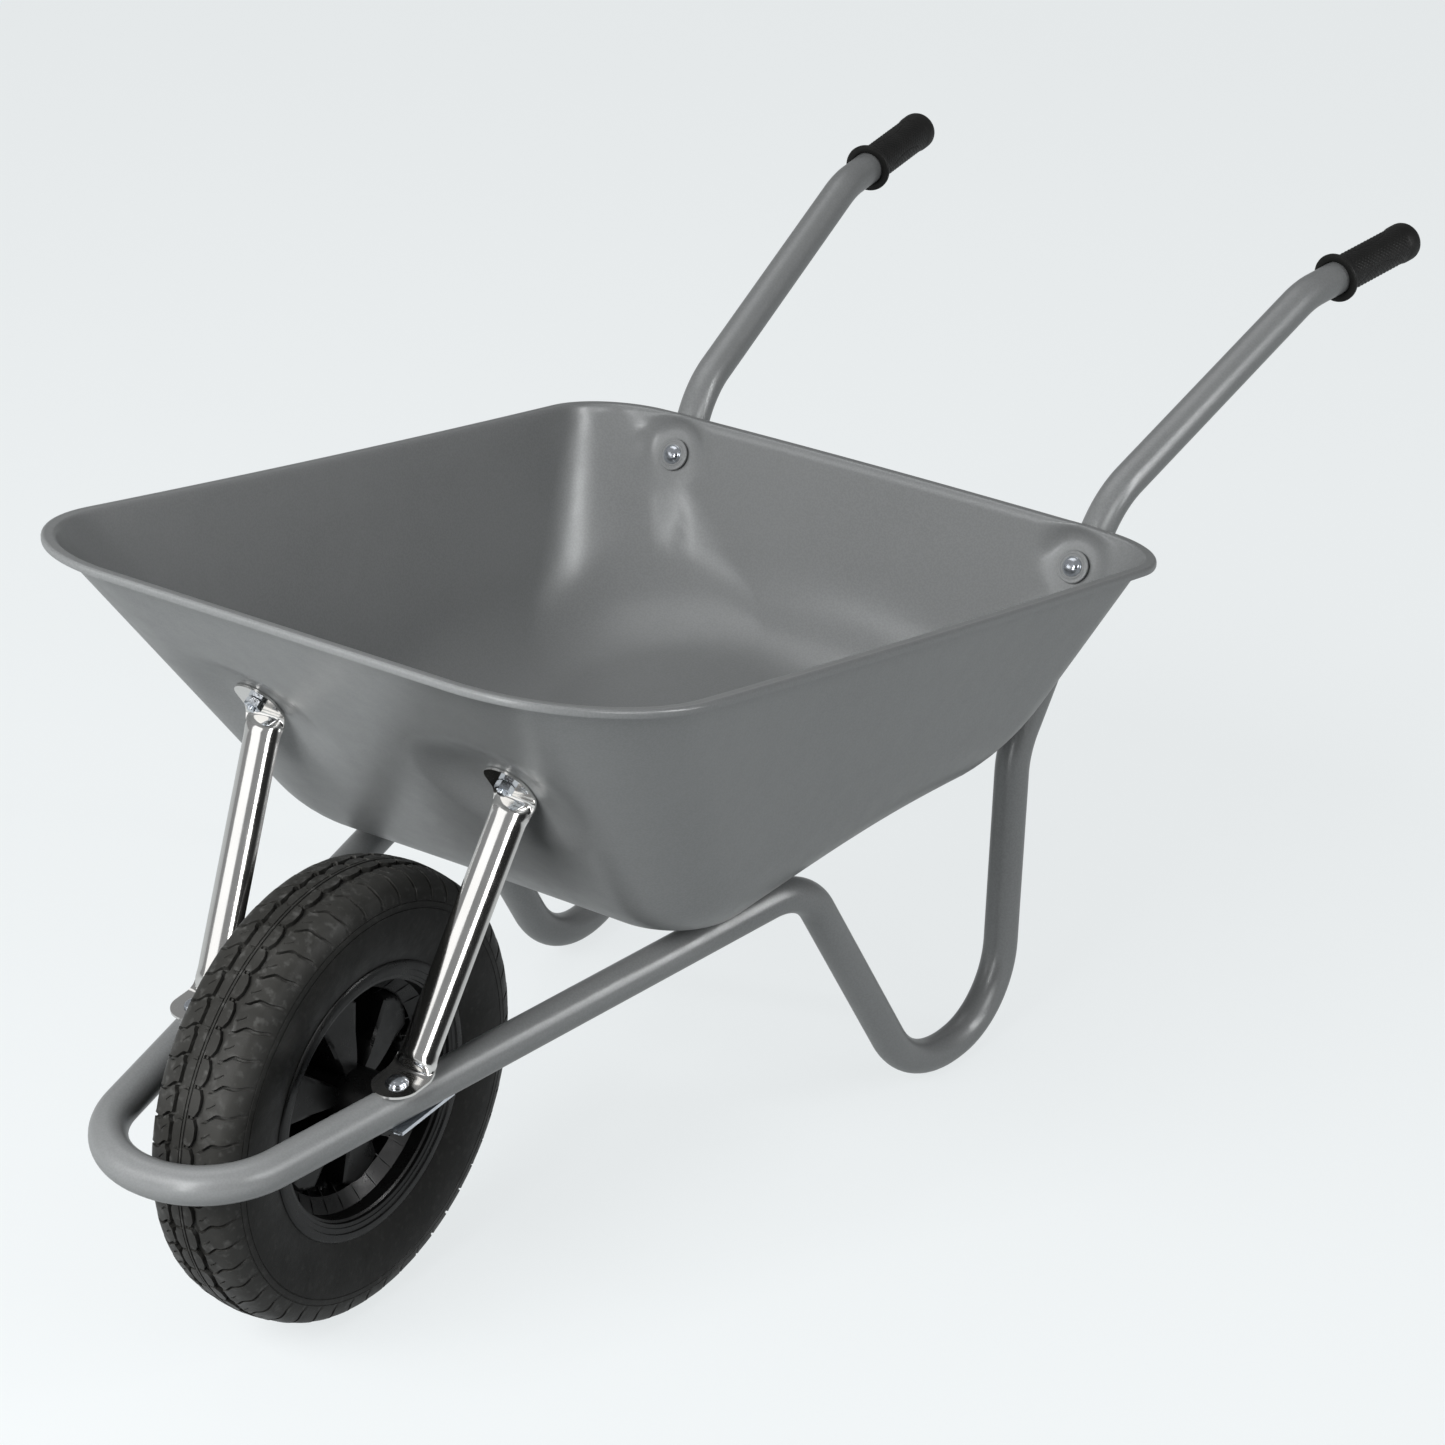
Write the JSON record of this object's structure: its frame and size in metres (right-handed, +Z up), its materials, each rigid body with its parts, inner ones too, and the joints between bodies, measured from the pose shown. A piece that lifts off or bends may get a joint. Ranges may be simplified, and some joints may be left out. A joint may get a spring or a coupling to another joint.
{
  "type": "wheelbarrow",
  "caption": "Single-wheel steel builder's wheelbarrow: tapered pan bolted to a continuous bent-tube frame, pressed front struts, pneumatic wheel on a fixed axle, push-on grips.",
  "frame": {"origin": "on the ground, under the middle of the barrow's overall length and width", "axes": "+Z up; -Y towards the wheel, +Y towards the grips; +X to the left of a person holding the grips and facing the wheel"},
  "size_m": [0.6104, 1.4847, 0.6094],
  "materials": {
    "powder_coat": "satin, fine texture",
    "chromed_strut": "bright polished",
    "bright_zinc": "bright zinc plate",
    "grey_washer": "satin",
    "axle_steel": "plain turned steel",
    "bearing_steel": "ground steel",
    "rim_plastic": "moulded, semi-gloss",
    "tyre_rubber": "matt rubber",
    "inner_tube_rubber": "smooth butyl rubber",
    "cap_plastic": "moulded",
    "grip_plastic": "diamond-knurled soft plastic"
  },
  "bodies": {
    "frame": {"axle": "axle_steel", "axle_bracket_left": "bright_zinc", "axle_bracket_right": "bright_zinc", "axle_nut_left": "bright_zinc", "axle_nut_right": "bright_zinc", "axle_spacer_left": "bright_zinc", "axle_spacer_right": "bright_zinc", "frame_tube": "powder_coat", "grip_left": "grip_plastic", "grip_right": "grip_plastic", "pan": "powder_coat", "rear_bolt_left": "bright_zinc", "rear_bolt_right": "bright_zinc", "rear_nut_left": "bright_zinc", "rear_nut_right": "bright_zinc", "rear_washer_left": "grey_washer", "rear_washer_right": "grey_washer", "strut_bottom_bolt_left": "bright_zinc", "strut_bottom_bolt_right": "bright_zinc", "strut_bottom_nut_left": "bright_zinc", "strut_bottom_nut_right": "bright_zinc", "strut_left": "chromed_strut", "strut_right": "chromed_strut", "strut_top_bolt_left": "bright_zinc", "strut_top_bolt_right": "bright_zinc", "strut_top_nut_left": "bright_zinc", "strut_top_nut_right": "bright_zinc"},
    "wheel": {"wheel_rim": "rim_plastic", "tyre": "tyre_rubber", "inner_tube": "inner_tube_rubber", "valve_stem": "inner_tube_rubber", "valve_cap": "cap_plastic", "wheel_bearing_left": "bearing_steel", "wheel_bearing_right": "bearing_steel"}
  },
  "joints": [
    {"name": "wheel_spin", "type": "hinge", "parent": "frame", "child": "wheel", "pos_m": [0, -0.505, 0.1855], "axis": [1, 0, 0], "continuous": true}
  ]
}
